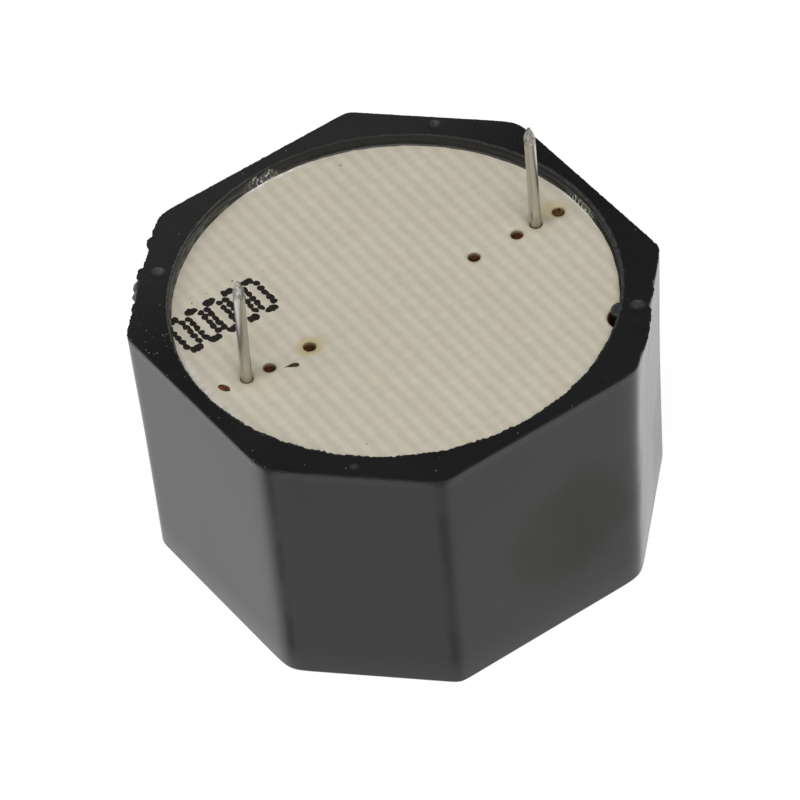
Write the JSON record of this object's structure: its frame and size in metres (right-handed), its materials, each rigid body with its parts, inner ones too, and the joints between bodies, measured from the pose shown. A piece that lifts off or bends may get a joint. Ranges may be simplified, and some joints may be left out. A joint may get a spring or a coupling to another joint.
{
  "type": "piezo buzzer",
  "caption": "Octagonal piezo buzzer in a black moulded housing, closed by a round circuit board with straight pins for mounting on a printed circuit.",
  "frame": {"origin": "centre of the sound face, on which the part stands", "axes": "+Z runs from the sound face to the pins; the long sides of the octagon face X and Y; the pins stand in a row along X, turned 1.4 degrees clockwise seen from above"},
  "size_m": [0.0242, 0.0242, 0.0209],
  "materials": {
    "housing_plastic": "semi-gloss moulded, smudged",
    "board_composite": "glass-weave laminate face",
    "tinned_wire": "tinned, slightly dull",
    "sealant": "cured adhesive",
    "brass": "rolled",
    "silvered_ceramic": "silvered",
    "silicone": "cured silicone",
    "lead_red": "vinyl insulation",
    "lead_blue": "vinyl insulation",
    "lead_black": "vinyl insulation",
    "solder": "bright solder",
    "epoxy": "moulded epoxy",
    "capacitor_ceramic": "fired ceramic",
    "resistor_ceramic": "glazed film",
    "ferrite": "sintered ferrite",
    "copper_coil": "enamelled copper wire"
  },
  "bodies": {
    "root": {"housing": "housing_plastic", "circuit_board": "board_composite", "pin_positive": "tinned_wire", "pin_negative": "tinned_wire", "board_sealant": "sealant", "diaphragm": "brass", "piezo_disc": "silvered_ceramic", "diaphragm_bead": "silicone", "drive_lead": "lead_red", "feedback_lead": "lead_blue", "ground_lead": "lead_black", "drive_joint": "solder", "feedback_joint": "solder", "ground_joint": "solder", "lead_pads": "solder", "solder_positive": "solder", "solder_negative": "solder", "transistor": "epoxy", "polarity_diode": "epoxy", "supply_capacitor": "capacitor_ceramic", "base_resistor": "resistor_ceramic", "feedback_resistor": "resistor_ceramic", "load_resistor": "resistor_ceramic", "choke_core": "ferrite", "choke_winding": "copper_coil", "component_solder": "solder"}
  },
  "joints": []
}
